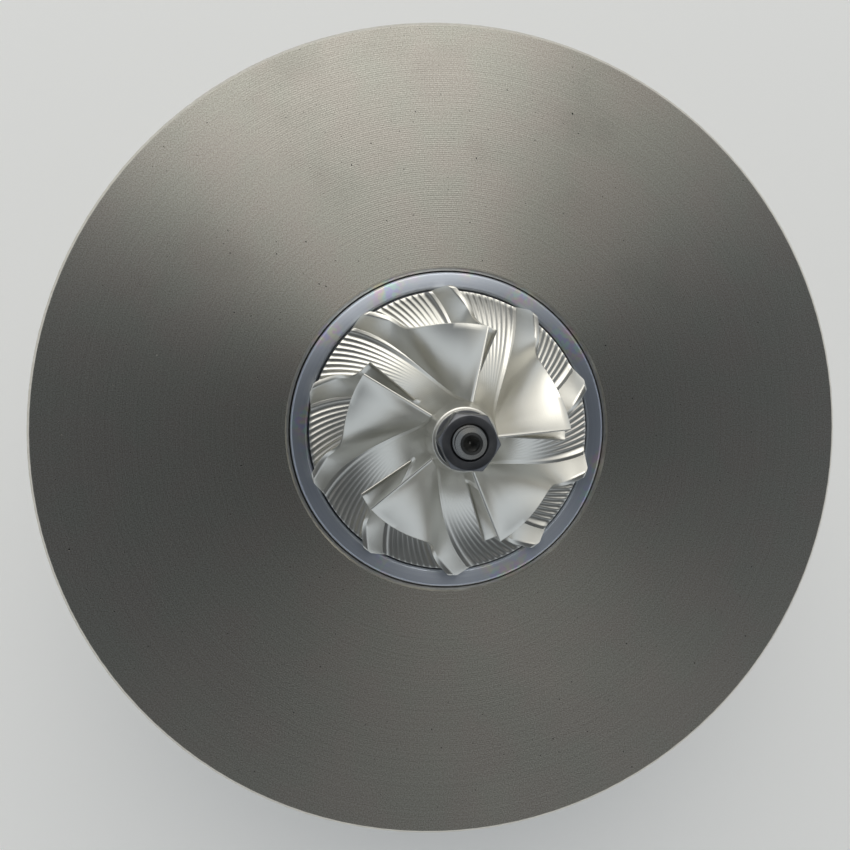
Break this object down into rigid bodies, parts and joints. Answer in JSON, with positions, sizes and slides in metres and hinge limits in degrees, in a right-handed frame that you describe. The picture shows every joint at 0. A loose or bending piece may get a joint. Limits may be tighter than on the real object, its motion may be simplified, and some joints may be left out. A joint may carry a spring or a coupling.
{
  "type": "turbocharger centre section with compressor wheel",
  "caption": "Turbocharger centre section seen from its milled compressor wheel, with a large turned flange, an insert ring, a lock nut and a turbine wheel on the same shaft.",
  "frame": {"origin": "on the rotor axis at the machined face of the large flange, where the compressor cover seats", "axes": "+Z along the rotor axis towards the compressor inlet and the lock nut, +Y towards the oil inlet, -Y towards the oil drain"},
  "size_m": [0.141, 0.141, 0.1088],
  "materials": {
    "cast_iron": "face-turned grey iron, fine concentric tool marks",
    "turned_aluminium": "fine-turned, bright",
    "milled_aluminium": "milled from solid, visible cutter paths",
    "black_steel": "black oxide",
    "ground_steel": "ground",
    "sheet_steel": "pressed stainless sheet",
    "turbine_alloy": "cast nickel alloy wheel, ground steel shaft",
    "bronze": "bored and turned",
    "seal_rubber": "moulded"
  },
  "bodies": {
    "housing": {"bearing_housing": "cast_iron", "insert": "turned_aluminium", "insert_screws": "black_steel", "insert_o_ring": "seal_rubber", "oil_deflector": "sheet_steel", "thrust_bearing": "bronze", "thrust_bearing_pins": "ground_steel", "journal_bearing": "bronze", "bearing_pin": "ground_steel", "compressor_seal_ring": "ground_steel", "turbine_seal_ring": "ground_steel", "heat_shield": "sheet_steel"},
    "rotor": {"shaft_and_turbine_wheel": "turbine_alloy", "thrust_washer": "ground_steel", "oil_flinger_sleeve": "ground_steel", "compressor_wheel": "milled_aluminium", "lock_nut": "black_steel"}
  },
  "joints": [
    {"name": "rotor_spin", "type": "hinge", "parent": "housing", "child": "rotor", "pos_m": [0, 0, 0], "axis": [0, 0, 1], "continuous": true}
  ]
}
